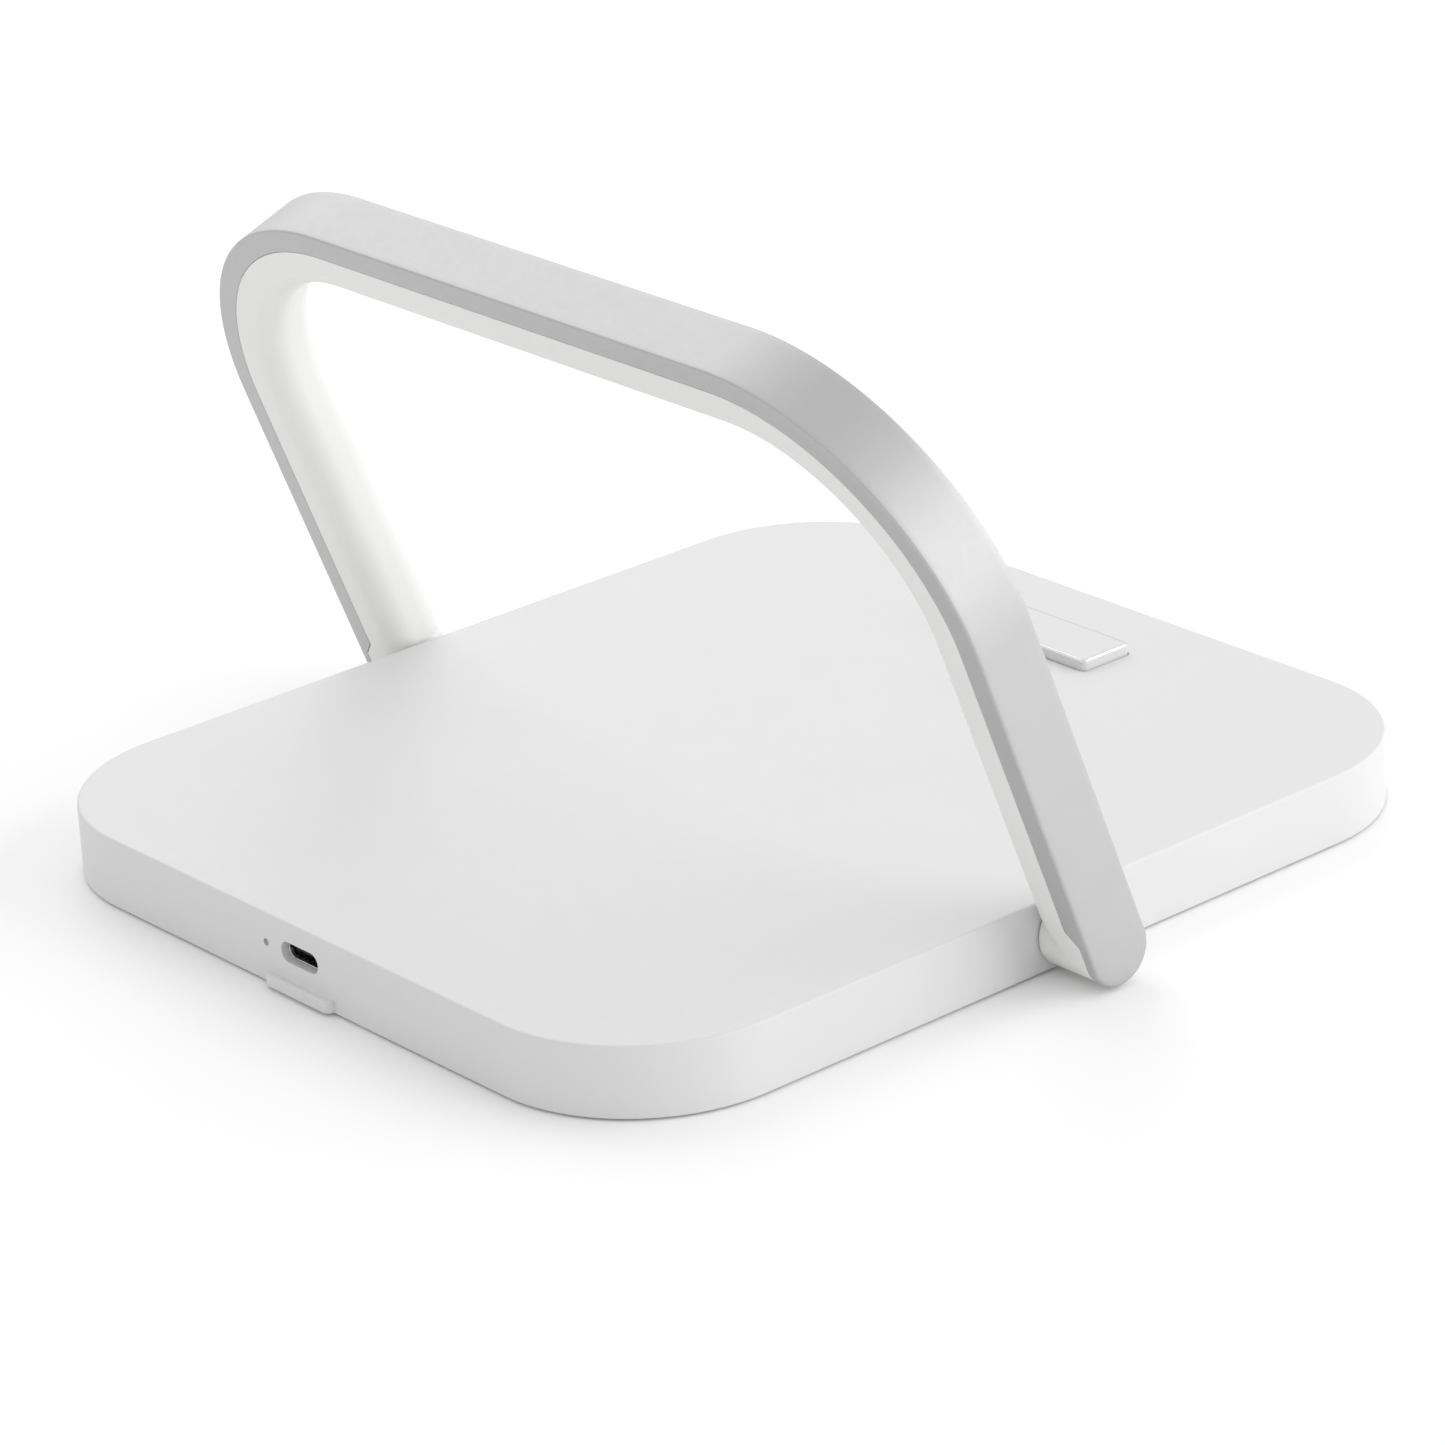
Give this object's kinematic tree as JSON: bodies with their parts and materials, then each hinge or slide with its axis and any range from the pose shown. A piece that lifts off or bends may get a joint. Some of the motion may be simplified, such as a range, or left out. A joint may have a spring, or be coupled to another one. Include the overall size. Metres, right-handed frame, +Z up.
{
  "type": "wireless charging pad",
  "caption": "Flat rounded rectangular wireless charging pad with a folding light arch hinged across its middle, a push button and a socket in the front wall.",
  "frame": {"origin": "middle of the anti-slip mat's underside, under the hinge axis", "axes": "+X along the hinge axis, +Y towards the end with the button, +Z up out of the charging surface"},
  "size_m": [0.1744, 0.1744, 0.1027],
  "materials": {
    "housing_plastic": "fine moulded texture, satin",
    "cover_plastic": "moulded, satin",
    "mat_silicone": "matte silicone",
    "anodised_aluminium": "bead-blasted and anodised, satin",
    "diffuser_acrylic": "opal, satin",
    "hub_plastic": "moulded, satin",
    "button_metal": "satin with cut edges",
    "socket_steel": "drawn, plain",
    "black_plastic": "moulded",
    "contact_gold": "plated",
    "light_pipe": "clear moulded",
    "board_laminate": "solder mask",
    "component_body": "ceramic",
    "ferrite_core": "pressed ferrite",
    "connector_nylon": "moulded",
    "led_body": "phosphor under resin",
    "spreader_aluminium": "rolled sheet",
    "coil_copper": "enamelled copper",
    "screw_steel": "zinc plated",
    "hinge_steel": "turned",
    "washer_bronze": "sprung bronze",
    "washer_nylon": "plain",
    "strip_film": "coated film",
    "wire_jacket": "satin"
  },
  "bodies": {
    "base": {"upper_housing": "housing_plastic", "bottom_cover": "cover_plastic", "anti_slip_mat": "mat_silicone", "cover_screws": "screw_steel", "main_board": "board_laminate", "board_screws": "screw_steel", "socket_shell": "socket_steel", "socket_tongue": "black_plastic", "socket_contacts": "contact_gold", "status_led": "led_body", "status_light_pipe": "light_pipe", "controller_chips": "black_plastic", "power_inductors": "ferrite_core", "board_capacitors": "component_body", "lamp_connector": "connector_nylon", "coil_tray": "black_plastic", "coil_tray_screws": "screw_steel", "heat_spreader": "spreader_aluminium", "ferrite_sheet": "ferrite_core", "transmitter_coil": "coil_copper", "coil_leads": "coil_copper", "button_board": "board_laminate", "button_board_screws": "screw_steel", "switch_dome": "mat_silicone", "button_springs": "screw_steel", "hinge_bracket_left": "hinge_steel", "hinge_bracket_right": "hinge_steel", "bracket_screws": "screw_steel", "hinge_bush_left": "connector_nylon", "hinge_bush_right": "connector_nylon", "hub_washers": "washer_nylon", "lamp_wires_pad": "wire_jacket"},
    "light_arch": {"hinge_shaft_left": "hinge_steel", "hinge_shaft_right": "hinge_steel", "friction_washers": "washer_bronze", "hinge_nuts": "screw_steel", "hinge_hub_left": "hub_plastic", "hinge_hub_right": "hub_plastic", "hub_set_screws": "hinge_steel", "arch_channel": "anodised_aluminium", "led_strip": "strip_film", "led_chips": "led_body", "diffuser": "diffuser_acrylic", "lamp_wires_arch": "wire_jacket"},
    "power_button": {"button_cap": "button_metal"}
  },
  "joints": [
    {"name": "arch_fold", "type": "hinge", "parent": "base", "child": "light_arch", "pos_m": [0, 0, 0.0062], "axis": [1, 0, 0], "range_deg": [-110.6, 69.4]},
    {"name": "button_press", "type": "slide", "parent": "base", "child": "power_button", "axis": [0, 0, -1], "range_m": [0, 0.0008], "stiffness_N_per_m": 600, "springref_m": -0.0008, "deforming": ["button_springs", "switch_dome"]}
  ]
}
